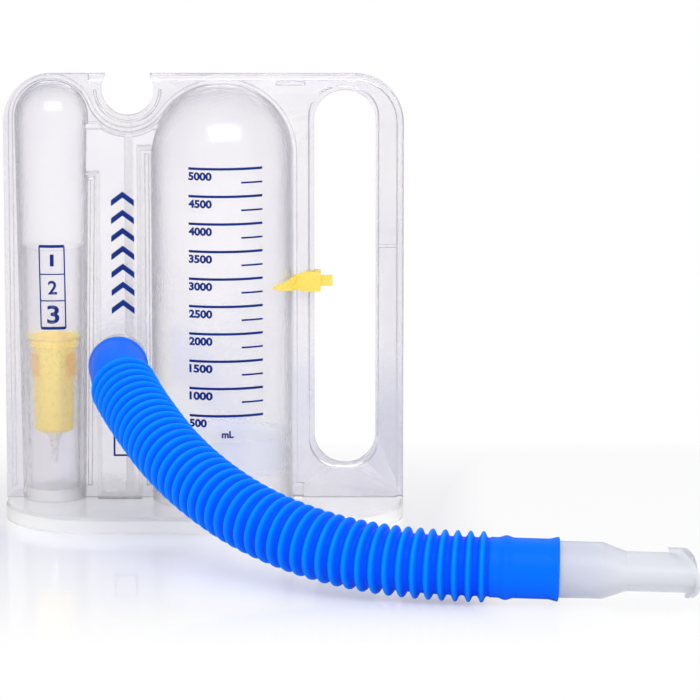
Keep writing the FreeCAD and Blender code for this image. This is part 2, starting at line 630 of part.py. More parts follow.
def float_stem():
    """The pale pin under the float, which steers it back into the metering tube."""
    collar_low = "float_foot - stem_collar_height"
    return turned_part("float_stem", "flow_x", [
        ("0", "stem_foot"), ("stem_tip", "stem_foot + stem_tip / 2"), ("stem_radius", collar_low),
        ("stem_collar", collar_low), ("stem_collar", "float_foot"), ("0", "float_foot")])


def volume_piston():
    """The piston: a thin cup open below, with a guide land at each end, a dished top and two crossed webs."""
    relief = "(piston_radius - piston_relief)"
    inner = "(piston_radius - piston_relief - piston_wall)"
    under = "(piston_top - piston_wall)"
    body = turned_part("volume_piston", "volume_x", [
        (inner, "piston_foot"), ("piston_radius", "piston_foot"),
        ("piston_radius", "piston_foot + piston_land"), (relief, "piston_foot + piston_land"),
        (relief, "piston_top - piston_land"), ("piston_radius", "piston_top - piston_land"),
        ("piston_radius", "piston_top"), ("piston_dish_radius + piston_dish", "piston_top"),
        ("piston_dish_radius", "piston_top - piston_dish"), ("0", "piston_top - piston_dish"),
        ("0", under + " - piston_dish"), ("piston_dish_radius", under + " - piston_dish"),
        ("piston_dish_radius + piston_dish", under), (inner, under)])
    web_low = under + " - piston_dish - piston_web_depth"
    for title, plane, across, out in (("wide", "XZ_Plane", "volume_x", "0"),
                                      ("deep", "YZ_Plane", "0", "volume_x")):
        sketch = sketch_on(body, "web_" + title, plane, across=across, out=out)
        outline(sketch, box_corners("-%s - piston_wall / 2" % inner, web_low,
                                    "%s + piston_wall / 2" % inner, under + " - piston_dish + piston_wall / 2"))
        through_both(body, "Pad", sketch, "piston_web / 2")
    return body


def goal_pointer():
    """The goal pointer: a clip round the rail, a pale tab in the finger opening and an arm that follows the
    cylinder's wall to a narrow tip."""
    body = new_body("goal_pointer")
    face = "(rim_half + pointer_fit)"
    outer = "(rim_half + pointer_fit + pointer_wall)"
    hook = "(flange + pointer_fit)"
    grip = "(rail_left - pointer_fit)"
    back = "(opening_left + pointer_fit)"
    web = "(opening_left + pointer_fit + pointer_web)"
    near, far = "(volume_radius + pointer_hug)", "(volume_radius + pointer_hug + pointer_thick)"
    on_arc = "volume_x + sqrt(%s ^ 2 - %s ^ 2)"
    tip_y = "(%s * sin(pointer_turn * 1deg))" % near
    tip = "(%s)" % (on_arc % (near, tip_y))
    sketch = sketch_on(body, "pointer_plan", "XY_Plane", out="pointer_z")
    outline(sketch, [
        (grip + " - hook", outer), (grip + " - hook", hook), (grip, hook), (grip, face), (back, face),
        (back, "-" + face), (grip, "-" + face), (grip, "-" + hook), (grip + " - hook", "-" + hook),
        (grip + " - hook", "-" + face), (on_arc % (near, face), "-" + face, near, -1),
        (tip, "-" + tip_y), (on_arc % (far, tip_y), "-" + tip_y, far, 1),
        (on_arc % (far, outer), "-" + outer), (web, "-" + outer), (web, "-tab_thick / 2"),
        (web + " + tab_reach", "-tab_thick / 2"), (web + " + tab_reach", "tab_thick / 2"),
        (web, "tab_thick / 2"), (web, outer)])
    through_both(body, "Pad", sketch, "pointer_height / 2")
    for title, way in (("upper", "+"), ("lower", "-")):
        full = "pointer_z %s pointer_height / 2" % way
        past = full + " %s pointer_wall" % way
        narrow = "pointer_z %s pointer_tip_height / 2" % way
        through_both(body, "Pocket", front_outline(body, "taper_" + title, [
            (tip + " - pointer_wall", narrow), (tip, narrow), (grip + " - hook", full),
            (grip + " - hook", past), (tip + " - pointer_wall", past)]), "cut_room")
        tab = "pointer_z %s tab_height / 2" % way
        through_both(body, "Pocket", front_outline(body, "tab_" + title, [
            (web, tab), (web + " + 2 * tab_reach", tab), (web + " + 2 * tab_reach", past), (web, past)]),
            "cut_room")
    return body


def hose_route():
    """The hose's centreline, chosen by hand: out of the port, down to the table and along it to the right."""
    start = FreeCAD.Vector(number("port_x"), -number("hose_start_y"), number("port_z"))
    middle = [(-35.3, -38.5, 66.4), (-29.2, -59, 59.6), (-20.5, -80, 51.4), (-10, -102, 42.8),
              (4.5, -123, 34), (22.5, -142.5, 25.9), (45, -158.2, 19.6), (66, -167.8, 16.2),
              (89, -174.2, 14.6), (115.6, -177.35, 14)]
    end = FreeCAD.Vector(number("hose_end_x"), -177.9, 13.35)
    return [start] + [FreeCAD.Vector(*point) for point in middle] + [end]


def path_edges(points):
    """Straight runs joined by tangent arcs, each as large as its two runs allow. Prints the radii."""
    edges, radii, last = [], [], points[0]
    for before, corner, after in zip(points, points[1:], points[2:]):
        back, ahead = before - corner, after - corner
        turn = math.pi - back.getAngle(ahead)
        cut = BEND_SHARE * min(back.Length, ahead.Length)
        radius = cut / math.tan(turn / 2)
        radii.append(round(radius))
        first, final = corner + back.normalize() * cut, corner + ahead.normalize() * cut
        inward = (back + ahead).normalize()
        middle = corner + inward * (radius / math.cos(turn / 2) - radius)
        edges += [Part.LineSegment(last, first).toShape(), Part.Arc(first, middle, final).toShape()]
        last = final
    edges.append(Part.LineSegment(last, points[-1]).toShape())
    print("hose radii, mm:", radii)
    return edges


def stretch(edges, start, stop):
    """The piece of the path between two lengths along it, as a wire."""
    pieces, walked = [], 0
    for edge in edges:
        low, high = max(start - walked, 0), min(stop - walked, edge.Length)
        if high - low > SLICE:
            ends = edge.getParameterByLength(low), edge.getParameterByLength(high)
            pieces.append(edge.Curve.toShape(*ends))
        walked += edge.Length
    return Part.Wire(pieces)


def swept(wire, radius):
    """Round rod along a wire."""
    start = wire.OrderedVertexes[0].Point
    edge = wire.OrderedEdges[0]
    ring = Part.Circle(start, edge.tangentAt(edge.FirstParameter), radius).toShape()
    return wire.makePipeShell([Part.Wire(ring)], True, False)


def add_shape(name, shape, placement=None):
    """A sub-part whose shape is made in code from the cells."""
    feature = doc.addObject("Part::Feature", "Shape_" + name)
    feature.Label = name
    feature.Shape = shape
    if placement:
        feature.Placement = placement
    return feature


def hose_parts(edges):
    """The corrugated hose as one plain tube at its crests, and its two smooth cuffs with their rims."""
    whole = sum(edge.Length for edge in edges)
    cuff, lip = number("cuff_length"), number("cuff_rim_length")
    bore, outer, rim = number("cuff_bore") / 2, number("cuff_radius"), number("cuff_rim")
    crest = number("hose_crest") / 2
    spans = {"hose_cuff_housing": (0, cuff, (0, lip)), "hose_tube": (cuff, whole - cuff, None),
             "hose_cuff_mouthpiece": (whole - cuff, whole, (whole - lip, whole))}
    made = []
    for name, (start, stop, thick) in spans.items():
        path = stretch(edges, start, stop)
        solid = swept(path, outer if thick else crest)
        if thick:
            solid = solid.fuse(swept(stretch(edges, *thick), rim)).removeSplitter()
        made.append(add_shape(name, solid.cut(swept(path, bore))))
    section = math.pi * (crest ** 2 - bore ** 2)
    print("hose length %.1f mm, tube volume over section times length %.4f" % (
        whole, made[1].Shape.Volume / (section * (whole - 2 * cuff))))
    return made


def oval_centres(wide, high, end):
    """How far the middle of an oval lies from the centres of its end arcs and of its side arcs. The side arcs
    are as round as touching the ends makes them."""
    reach, slack = wide / 2 - end, high / 2 - end
    return reach, (reach ** 2 - slack ** 2) / (2 * slack)


def four_arcs(reach, drop, end, side, toward, level):
    """Closed level outline of two end arcs and two side arcs, which meet where both face the same way."""
    across, up = reach + toward.x * end, toward.y * end
    places = [(across, up), (0, side - drop), (-across, up), (-reach - end, 0), (-across, -up),
              (0, drop - side), (across, -up), (reach + end, 0), (across, up)]
    points = [FreeCAD.Vector(place[0], place[1], level) for place in places]
    return Part.Wire([Part.Arc(*points[first:first + 3]).toShape() for first in range(0, len(places) - 1, 2)])


def mouth_section(flat, inset, level):
    """The mouthpiece's round or flattened section at a level, inset by a wall. Both meet the same four ways."""
    high, end = number("mouth_oval_high"), number("mouth_oval_end")
    reach, drop = oval_centres(2 * number("mouth_radius"), high, end)
    toward = FreeCAD.Vector(reach, drop, 0).normalize()
    if flat:
        return four_arcs(reach, drop, end - inset, high / 2 + drop - inset, toward, level)
    radius = number("mouth_radius") - inset
    return four_arcs(0, 0, radius, radius, toward, level)


def prism(wire, height):
    """Upright solid on a level outline."""
    return Part.Face(wire).extrude(UP * height)


def mouth_rod(inset):
    """The mouthpiece's outer form, or its bore where it is inset by the wall."""
    low, straight, taper = -number("mouth_insert"), number("mouth_round"), number("mouth_taper")
    level = straight + taper
    rod = Part.makeCylinder(number("mouth_radius") - inset, straight - low, UP * low)
    neck = Part.makeLoft([mouth_section(False, inset, straight), mouth_section(True, inset, level)], True, True)
    tip = prism(mouth_section(True, inset, level), number("mouth_oval") + number("lip_curve"))
    return rod.fuse(neck).fuse(tip)


def mouthpiece(edges):
    """The mouthpiece: a round body in the hose's cuff, flattened towards a curved lip flange."""
    curve, thick, wide = number("lip_curve"), number("lip_thick"), number("lip_wide")
    mid = number("mouth_round") + number("mouth_taper") + number("mouth_oval")
    axis = FreeCAD.Vector(-wide, -number("lip_drop"), mid - curve)
    side = FreeCAD.Vector(1, 0, 0)
    outer = Part.makeCylinder(curve, 2 * wide, axis, side)
    inner = Part.makeCylinder(curve - thick, 2 * wide, axis, side)
    high, end = number("lip_high"), number("lip_end")
    reach, drop = oval_centres(wide, high, end)
    toward = FreeCAD.Vector(reach, drop, 0).normalize()
    plate = prism(four_arcs(reach, drop, end, high / 2 + drop, toward, mid - curve), curve + thick)
    lip = plate.common(outer.cut(inner))
    behind = Part.makeCylinder(wide, mid - curve + 2 * number("mouth_insert"), UP * -2 * number("mouth_insert"))
    body = mouth_rod(0).common(behind.fuse(outer)).fuse(lip).cut(mouth_rod(number("mouth_wall")))
    last = edges[-1]
    ahead = last.tangentAt(last.LastParameter)
    turn = FreeCAD.Rotation(FreeCAD.Vector(0, 1, 0), UP, ahead, "ZXY")
    return add_shape("mouthpiece", body, FreeCAD.Placement(last.valueAt(last.LastParameter), turn))


def check_all(parts):
    """Stops before anything is written if an object failed or a sub-part is not one valid solid."""
    doc.recompute()
    failed = [item.Name for item in doc.Objects if "Invalid" in item.State or "Error" in item.State]
    for part in parts:
        shape = part.Shape
        if shape.isNull() or not shape.isValid() or len(shape.Solids) != 1:
            failed.append(part.Label)
    if failed:
        raise RuntimeError("failed: " + ", ".join(failed))


route = path_edges(hose_route())
parts = [housing_half("front_housing", True), housing_half("rear_housing", False), base_foot(),
         metering_tube(), flow_float(), float_stem(), volume_piston(), goal_pointer()]
parts += hose_parts(route)
parts.append(mouthpiece(route))
check_all(parts)
os.makedirs("parts", exist_ok=True)
for part in parts:
    part.Shape.exportStep("parts/%s.step" % part.Label)
    box = part.Shape.BoundBox
    print("%-22s volume %9.1f  X %7.1f %7.1f  Y %7.1f %7.1f  Z %6.1f %6.1f" % (
        part.Label, part.Shape.Volume, box.XMin, box.XMax, box.YMin, box.YMax, box.ZMin, box.ZMax))
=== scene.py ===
# %% [markdown]
# Breathing exerciser in clear plastic, with a blue corrugated hose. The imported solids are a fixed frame:
# every clear, yellow and milky part is already modelled there. This script gives them their finishes,
# prints the scales, and makes the hose with its rings.
# %% Load the frame
import math
import bpy
import numpy as np
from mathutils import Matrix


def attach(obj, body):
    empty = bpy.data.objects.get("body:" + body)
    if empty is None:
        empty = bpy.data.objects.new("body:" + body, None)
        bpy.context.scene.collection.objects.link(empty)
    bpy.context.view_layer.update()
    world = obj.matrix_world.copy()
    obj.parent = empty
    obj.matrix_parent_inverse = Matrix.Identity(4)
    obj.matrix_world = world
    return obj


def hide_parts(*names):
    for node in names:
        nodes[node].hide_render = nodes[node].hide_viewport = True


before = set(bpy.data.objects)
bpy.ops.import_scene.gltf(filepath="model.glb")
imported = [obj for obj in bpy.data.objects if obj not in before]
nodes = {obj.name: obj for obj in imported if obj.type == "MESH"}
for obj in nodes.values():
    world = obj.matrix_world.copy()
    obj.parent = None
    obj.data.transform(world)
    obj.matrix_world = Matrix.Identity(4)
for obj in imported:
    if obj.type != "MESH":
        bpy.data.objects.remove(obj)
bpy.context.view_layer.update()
# Sizes are in metres. Only the hose's control points are in millimetres.
MM = 0.001
print("nodes:", sorted(nodes))

# %% [markdown]
# The object is seen from two metres away, from above and through a long lens. A wide lens close by would
# hold the same object, but its tubes would seem to lean outwards. The camera comes before everything else,
# because the hose is laid out in front of it and has to fit the view.
# %% Camera
CAMERA_PLACE = (0.0612, -2.0, 0.4042)
LOOK_DOWN = 9.5
FOCAL_PIXELS, IMAGE_WIDTH = 4815, 700
SENSOR_WIDTH = 36
VIEW_DEPTH = 50

scene = bpy.context.scene
camera_data = bpy.data.cameras.new("camera")
camera = bpy.data.objects.new("camera", camera_data)
bpy.context.collection.objects.link(camera)
camera.location = CAMERA_PLACE
camera.rotation_euler = (math.radians(90 - LOOK_DOWN), 0, 0)
camera_data.sensor_width = SENSOR_WIDTH
camera_data.lens = FOCAL_PIXELS / IMAGE_WIDTH * SENSOR_WIDTH
camera_data.clip_end = VIEW_DEPTH
scene.camera = camera
print("lens, mm:", round(camera_data.lens, 1))

# %% [markdown]
# The room, the finishes and the shared effects are all trees of nodes, with wires from one node's output to
# another's input. They could be wired by hand, one line for each wire. These helpers make a node together
# with its values and its wires, so that a finish further down reads as a list of what goes into what.
# %% Node helpers
# The Mix node's colour sockets stand behind those for numbers and vectors
MIX_FIRST, MIX_SECOND, MIX_RESULT = 6, 7, 2


def feed(tree, socket, value):
    """Gives an input a plain value, or a wire where the value is another node's output."""
    if isinstance(value, bpy.types.NodeSocket):
        tree.links.new(value, socket)
    else:
        socket.default_value = value


def add_node(tree, kind, **settings):
    """A new node. Each setting feeds the input of that name, with a space for an underscore, or else it is
    set on the node itself."""
    node = tree.nodes.new(kind)
    for title, value in settings.items():
        socket = title.replace("_", " ")
        if socket in node.inputs:
            feed(tree, node.inputs[socket], value)
        else:
            setattr(node, title, value)
    return node


def maths(tree, operation, *values):
    """Output of a Math node over numbers and other nodes' outputs."""
    node = add_node(tree, "ShaderNodeMath", operation=operation)
    for socket, value in zip(node.inputs, values):
        feed(tree, socket, value)
    return node.outputs[0]


def rise(tree, value, low, high, easing="LINEAR"):
    """Output that goes from 0 to 1 while a value goes from low to high, and stays level outside."""
    return add_node(tree, "ShaderNodeMapRange", interpolation_type=easing, Value=value, From_Min=low,
                    From_Max=high).outputs[0]


def soft_rise(tree, value, low, high):
    """The same, eased at both ends by the smooth step s * s * (3 - 2 * s)."""
    return rise(tree, value, low, high, "SMOOTHSTEP")


def mix_colours(tree, mask, first, second):
    """Colour between two by a mask. Each is a plain colour or an output."""
    mix = add_node(tree, "ShaderNodeMix", data_type="RGBA", Factor=mask)
    feed(tree, mix.inputs[MIX_FIRST], first)
    feed(tree, mix.inputs[MIX_SECOND], second)
    return mix.outputs[MIX_RESULT]


def mix_shaders(tree, mask, first, second):
    """Shader between two by a mask."""
    mix = add_node(tree, "ShaderNodeMixShader", Fac=mask)
    feed(tree, mix.inputs[1], first)
    feed(tree, mix.inputs[2], second)
    return mix.outputs[0]


def colour_ramp(tree, value, steps):
    """Colour by a value from 0 to 1, through steps of (place, colour) with straight mixes between them."""
    ramp = add_node(tree, "ShaderNodeValToRGB", Fac=value)
    elements = ramp.color_ramp.elements
    while len(elements) < len(steps):
        elements.new(0.5)
    for element, (place, colour) in zip(elements, steps):
        element.position = place
        element.color = (*colour, 1)
    return ramp.outputs[0]


print("node helpers:", [helper.__name__ for helper in (feed, add_node, maths, rise, soft_rise, mix_colours,
                                                       mix_shaders, colour_ramp)])

# %% [markdown]
# Clear plastic shows its surroundings more than itself, so the surroundings are settled next. In a plain
# white world the moulding would vanish. So the camera sees white, but a ray that the plastic bends or
# mirrors sees a white panel straight ahead and a darker lilac grey all round it: that is what draws the
# edges of a clear moulding on a white ground. Light that a surface has already scattered comes evenly from
# the whole room.
# %% Room
WHITE = (1, 1, 1, 1)
DIFFUSE_LEVEL = 0.9
# The panel's direction, and how bright the room is from behind the camera (0) to the panel's middle (1)
PANEL = (0.0, math.cos(math.radians(LOOK_DOWN)), -math.sin(math.radians(LOOK_DOWN)))
ROOM_STEPS = ((0.0, (0.78, 0.77, 0.79)), (0.45, (0.48, 0.475, 0.51)), (0.80, (0.13, 0.13, 0.18)),
              (0.94, (0.14, 0.14, 0.20)), (0.972, (0.28, 0.28, 0.35)), (0.986, (0.60, 0.60, 0.66)),
              (0.994, (0.89, 0.88, 0.89)), (1.0, (0.925, 0.915, 0.92)))

scene.view_settings.view_transform = "Standard"
world = bpy.data.worlds.new("room")
scene.world = world
world.use_nodes = True
room = world.node_tree
room.nodes.clear()
rays = add_node(room, "ShaderNodeLightPath").outputs
bent = maths(room, "MAXIMUM", rays["Is Glossy Ray"], rays["Is Transmission Ray"])
never_scattered = maths(room, "LESS_THAN", rays["Diffuse Depth"], 0.5)
meets_panel = maths(room, "MULTIPLY", bent, never_scattered)
# The dot product of two unit directions is the cosine of the angle between them
direction = add_node(room, "ShaderNodeTexCoord").outputs["Generated"]
towards = add_node(room, "ShaderNodeVectorMath", operation="DOT_PRODUCT", Vector=direction)
towards.inputs[1].default_value = PANEL
surroundings = colour_ramp(room, rise(room, towards.outputs["Value"], -1, 1), ROOM_STEPS)
shown = add_node(room, "ShaderNodeBackground", Color=mix_colours(room, meets_panel, WHITE, surroundings))
lamp = add_node(room, "ShaderNodeBackground", Color=WHITE, Strength=DIFFUSE_LEVEL)
seen = maths(room, "MAXIMUM", rays["Is Camera Ray"], bent)
add_node(room, "ShaderNodeOutputWorld", Surface=mix_shaders(room, seen, lamp.outputs[0], shown.outputs[0]))
print("room lamp level:", DIFFUSE_LEVEL, "steps:", len(ROOM_STEPS))

# %% [markdown]
# A broad soft box hangs in front of the object, higher than the camera, and a weaker one hangs behind it.
# Point lamps would leave hard spots on the domes. The front box leaves one soft white patch on each dome,
# and the glints along the hose's rings.
# %% Soft boxes
SOFT_BOX_TARGET = (0, 0, 0.1)
# Name, place, width and height, watts
SOFT_BOXES = (("soft_box_front", (0.15, -1.2, 1.25), (1.5, 0.75), 11),
              ("soft_box_back", (0.1, 1.2, 1.0), (1.2, 0.6), 3))


def soft_box(name, place, size, watts):
    """A rectangular area lamp at a place, turned towards the object. The lamp shines along its own -Z: it
    is tipped up from straight down, and then turned about the upright axis."""
    data = bpy.data.lights.new(name, "AREA")
    data.shape = "RECTANGLE"
    data.size, data.size_y = size
    data.energy = watts
    box = bpy.data.objects.new(name, data)
    bpy.context.collection.objects.link(box)
    aim = np.array(SOFT_BOX_TARGET) - np.array(place)
    box.location = place
    box.rotation_euler = (math.atan2(math.hypot(aim[0], aim[1]), -aim[2]), 0,
                          math.atan2(aim[1], aim[0]) - math.pi / 2)
    return box


print("soft boxes:", [soft_box(*settings).name for settings in SOFT_BOXES])

# %% [markdown]
# The object stands on a glossy white table, which mirrors it faintly. A plain glossy plane would be grey
# where it mirrors the room. So a part of what the camera sees of the table is plain white, as on an
# overexposed studio table, and the rest keeps the shadow and the mirror image. That white part is small
# near the object and grows away from it, until the table's far edge is lost in the room.
# %% Table
TABLE_SIDE, TABLE_NEAR, TABLE_FAR = 3.0, -2.5, 0.5
# A hair's breadth below the foot, so that the two faces don't share one plane
TABLE_LEVEL = -0.0002
TABLE_COLOUR, TABLE_ROUGHNESS = (0.97, 0.97, 0.975, 1), 0.04
# Share of plain white by the place along the table's depth, in metres
TABLE_WHITE = ((-0.25, 1.0), (-0.18, 0.4), (-0.05, 0.0), (0.05, 0.35), (0.17, 1.0))
# Distance from the middle where the plain white begins and is full on both sides, and its share there
SIDE_BEGINS, SIDE_FULL, SIDE_WHITE = 0.085, 0.125, 0.8


def shader_inputs(material):
    """Inputs of a material's Principled shader."""
    return material.node_tree.nodes["Principled BSDF"].inputs


def plain_material(name, colour, roughness):
    """A material with one Principled shader and these two plain values."""
    material = bpy.data.materials.new(name)
    material.use_nodes = True
    shader_inputs(material)["Base Color"].default_value = colour
    shader_inputs(material)["Roughness"].default_value = roughness
    return material


def object_axes(tree):
    """Outputs X, Y and Z of a surface point's place, in metres."""
    place = add_node(tree, "ShaderNodeTexCoord").outputs["Object"]
    return add_node(tree, "ShaderNodeSeparateXYZ", Vector=place).outputs


def show_instead(material, mask, other):
    """Shows another shader in place of the material's own where the mask is 1."""
    tree = material.node_tree
    own = tree.nodes["Principled BSDF"].outputs[0]
    feed(tree, tree.nodes["Material Output"].inputs["Surface"], mix_shaders(tree, mask, own, other))


def white_share(tree):
    """Share of plain white: the larger of a ramp along the table's depth and a soft step to both sides, for
    what the camera sees directly."""
    axes = object_axes(tree)
    near, far = TABLE_WHITE[0][0], TABLE_WHITE[-1][0]
    steps = [((depth - near) / (far - near), (white, white, white)) for depth, white in TABLE_WHITE]
    along = colour_ramp(tree, rise(tree, axes["Y"], near, far), steps)
    beside = soft_rise(tree, maths(tree, "ABSOLUTE", axes["X"]), SIDE_BEGINS, SIDE_FULL)
    most = maths(tree, "MAXIMUM", maths(tree, "MULTIPLY", beside, SIDE_WHITE), along)
    return maths(tree, "MULTIPLY", add_node(tree, "ShaderNodeLightPath").outputs["Is Camera Ray"], most)


table_mesh = bpy.data.meshes.new("table")
table_mesh.from_pydata([(-TABLE_SIDE, TABLE_NEAR, TABLE_LEVEL), (TABLE_SIDE, TABLE_NEAR, TABLE_LEVEL),
                        (TABLE_SIDE, TABLE_FAR, TABLE_LEVEL), (-TABLE_SIDE, TABLE_FAR, TABLE_LEVEL)], [],
                       [(0, 1, 2, 3)])
table = bpy.data.objects.new("table", table_mesh)
bpy.context.collection.objects.link(table)
table_finish = plain_material("polished_table", TABLE_COLOUR, TABLE_ROUGHNESS)
show_instead(table_finish, white_share(table_finish.node_tree),
             add_node(table_finish.node_tree, "ShaderNodeEmission").outputs[0])
table_mesh.materials.append(table_finish)
print("table roughness:", TABLE_ROUGHNESS)

# %% [markdown]
# Every plastic here is a moulding, so the finishes share three effects. Each is a node group, built once
# and placed in each material with its own values, and it puts out only values, masks or a normal. The first
# is a moulding's skin, slightly wavy and with fine polish marks. The waves are far too shallow to be
# modelled, so a bump makes them.
# %% Moulded surface
BUMP_DEPTH = 0.0004
# The fine noise at which a surface is at its smoothest and at its roughest
SMOOTHEST_AT, ROUGHEST_AT = 0.35, 0.7
MOULDED_INPUTS = (("Broad Scale", 45), ("Fine Scale", 900), ("Wave", 0.2), ("Smooth", 0.05), ("Rough", 0.15))


def new_group(name, inputs, outputs):
    """An empty node group, what it is given and what it puts out. Inputs are (name, default) floats and
    outputs are (name, socket type)."""
    group = bpy.data.node_groups.new(name, "ShaderNodeTree")
    for title, default in inputs:
        socket = group.interface.new_socket(title, in_out="INPUT", socket_type="NodeSocketFloat")
        socket.default_value = default
    for title, kind in outputs:
        group.interface.new_socket(title, in_out="OUTPUT", socket_type="NodeSocket" + kind)
    return group, group.nodes.new("NodeGroupInput").outputs, group.nodes.new("NodeGroupOutput").inputs


def object_noise(tree, **settings):
    """Noise that reads the surface point's place, in metres."""
    place = add_node(tree, "ShaderNodeTexCoord").outputs["Object"]
    return add_node(tree, "ShaderNodeTexNoise", Vector=place, **settings).outputs[0]


def moulded_group():
    """Normal and roughness of a moulded surface. A broad and a fine noise in object space are added up and
    bend the normal. The fine one also moves the roughness between its two given levels."""
    group, given, results = new_group("moulded_surface", MOULDED_INPUTS,
                                      (("Roughness", "Float"), ("Normal", "Vector")))
    broad = object_noise(group, Scale=given["Broad Scale"], Detail=2)
    fine = object_noise(group, Scale=given["Fine Scale"], Detail=3)
    height = maths(group, "ADD", broad, fine)
    bump = add_node(group, "ShaderNodeBump", Height=height, Strength=given["Wave"], Distance=BUMP_DEPTH)
    level = add_node(group, "ShaderNodeMapRange", Value=fine, From_Min=SMOOTHEST_AT, From_Max=ROUGHEST_AT,
                     To_Min=given["Smooth"], To_Max=given["Rough"])
    feed(group, results["Roughness"], level.outputs[0])
    feed(group, results["Normal"], bump.outputs[0])
    return group


moulded = moulded_group()
print("group:", moulded.name)

# %% [markdown]
# Handled plastic has fine hair scratches, mostly upright here. Drawing each one would need a picture or
# thousands of lines. A noise that is squeezed across and stretched along gives streaks, and only its rarest
# ridges are kept.
# %% Hair scratches
SCRATCH_BEGINS, SCRATCH_FULL = 0.66, 0.74


def scratch_group():
    """Mask of long hair scratches: a noise over coordinates that are scaled far more across than along, and
    cut off below its ridges."""
    group, given, results = new_group("hair_scratches", (("Across", 2600), ("Along", 60), ("Tilt", 0.3)),
                                      (("Mask", "Float"),))
    place = add_node(group, "ShaderNodeTexCoord").outputs["Object"]
    across = given["Across"]
    stretch = add_node(group, "ShaderNodeCombineXYZ", X=across, Y=across, Z=given["Along"])
    turn = add_node(group, "ShaderNodeCombineXYZ", X=given["Tilt"], Y=given["Tilt"])
    moved = add_node(group, "ShaderNodeMapping", Vector=place, Rotation=turn.outputs[0],
                     Scale=stretch.outputs[0])
    noise = add_node(group, "ShaderNodeTexNoise", Vector=moved.outputs[0], Scale=1, Detail=1)
    feed(group, results["Mask"], rise(group, noise.outputs[0], SCRATCH_BEGINS, SCRATCH_FULL))
    return group


scratches = scratch_group()
print("group:", scratches.name)

# %% [markdown]
# Thick plastic cools unevenly, which leaves a soft cloudiness in it. One flat colour would look painted. A
# broad noise is the mask between two near colours of the same plastic.
# %% Cooling clouds
CLOUD_BEGINS, CLOUD_FULL = 0.3, 0.7


def cloud_group():
    """Soft mask from 0 to 1 of broad clouds in the plastic."""
    group, given, results = new_group("cooling_clouds", (("Scale", 22),), (("Mask", "Float"),))
    noise = object_noise(group, Scale=given["Scale"], Detail=2)
    feed(group, results["Mask"], rise(group, noise, CLOUD_BEGINS, CLOUD_FULL))
    return group


clouds = cloud_group()
print("group:", clouds.name)

# %% [markdown]
# Two kinds of plastic use these effects, clear and opaque, and both are a Principled shader. A clear one
# could be a Glass shader, but that takes no milkiness. Either would throw a hard dark shadow inside the
# tubes, because no lamp is looked for through a bending wall. So a lamp's rays pass straight through the
# clear plastics, by way of a Transparent shader.
# %% Plastics
SHADOW_TINT = (0.99, 0.99, 0.995, 1)


def srgb(red, green, blue):
    """Linear colour of a shade written as it looks on a screen, 0 to 255: each channel is raised to the
    power of 2.4 after the standard offset, or divided by 12.92 where it is very dark."""
    shade = np.array([red, green, blue]) / 255
    linear = np.where(shade <= 0.04045, shade / 12.92, ((shade + 0.055) / 1.055) ** 2.4)
    return (*linear.tolist(), 1.0)


def finish_plastic(material, first, second, smooth, rough, wave, scratch):
    """Gives a plastic its clouds between two near colours, its moulded surface and its scratches."""
    tree = material.node_tree
    cloud = add_node(tree, "ShaderNodeGroup", node_tree=clouds)
    surface = add_node(tree, "ShaderNodeGroup", node_tree=moulded, Smooth=smooth, Rough=rough, Wave=wave)
    hair = add_node(tree, "ShaderNodeGroup", node_tree=scratches)
    inputs = shader_inputs(material)
    feed(tree, inputs["Roughness"], maths(tree, "MULTIPLY_ADD", hair.outputs["Mask"], scratch,
                                          surface.outputs["Roughness"]))
    feed(tree, inputs["Normal"], surface.outputs["Normal"])
    feed(tree, inputs["Base Color"], mix_colours(tree, cloud.outputs["Mask"], first, second))


def clear_material(name, first, second, clearness, ior, **finish):
    """See-through plastic: a Principled shader with a plain transmission weight, let through for lamps."""
    material = plain_material(name, first, finish["smooth"])
    shader_inputs(material)["Transmission Weight"].default_value = clearness
    shader_inputs(material)["IOR"].default_value = ior
    finish_plastic(material, first, second, **finish)
    tree = material.node_tree
    show_instead(material, add_node(tree, "ShaderNodeLightPath").outputs["Is Shadow Ray"],
                 add_node(tree, "ShaderNodeBsdfTransparent", Color=SHADOW_TINT).outputs[0])
    return material


def opaque_material(name, first, second, gloss, **finish):
    """Solid plastic with the same effects, and its own level of gloss."""
    material = plain_material(name, first, finish["smooth"])
    shader_inputs(material)["Specular IOR Level"].default_value = gloss
    finish_plastic(material, first, second, **finish)
    return material


def tint(material, mask, colour):
    """Lays a second colour over a plastic's own where the mask is 1."""
    base = shader_inputs(material)["Base Color"]
    feed(material.node_tree, base, mix_colours(material.node_tree, mask, base.links[0].from_socket, colour))


def dress(material, *names):
    """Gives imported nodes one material."""
    for name in names:
        materials = nodes[name].data.materials
        materials.clear()
        materials.append(material)
    print(material.name, "on", ", ".join(names))


print("kinds of plastic:", [kind.__name__ for kind in (clear_material, opaque_material)])

# %% [markdown]
# The housing, the foot and the metering tube are clear styrene. Perfect glass would be easier to set up,
# but the real plastic has a trace of milkiness, and the thick foot has most of it. A transmission weight
# below 1 gives that.
# %% Clear styrene
housing_styrene = clear_material("clear_styrene", srgb(253, 252, 253), srgb(248, 247, 250),
                                 clearness=0.94, ior=1.5, smooth=0.06, rough=0.13, wave=0.25, scratch=0.1)
foot_styrene = clear_material("clear_foot_styrene", srgb(255, 255, 255), srgb(254, 253, 253),
                              clearness=0.68, ior=1.45, smooth=0.12, rough=0.2, wave=0.08, scratch=0.05)
meter_styrene = clear_material("clear_meter_styrene", srgb(254, 253, 254), srgb(250, 249, 252),
                               clearness=0.97, ior=1.4, smooth=0.05, rough=0.12, wave=0.15, scratch=0.05)
dress(housing_styrene, "front_housing", "rear_housing")
dress(foot_styrene, "base_foot")
dress(meter_styrene, "metering_tube")

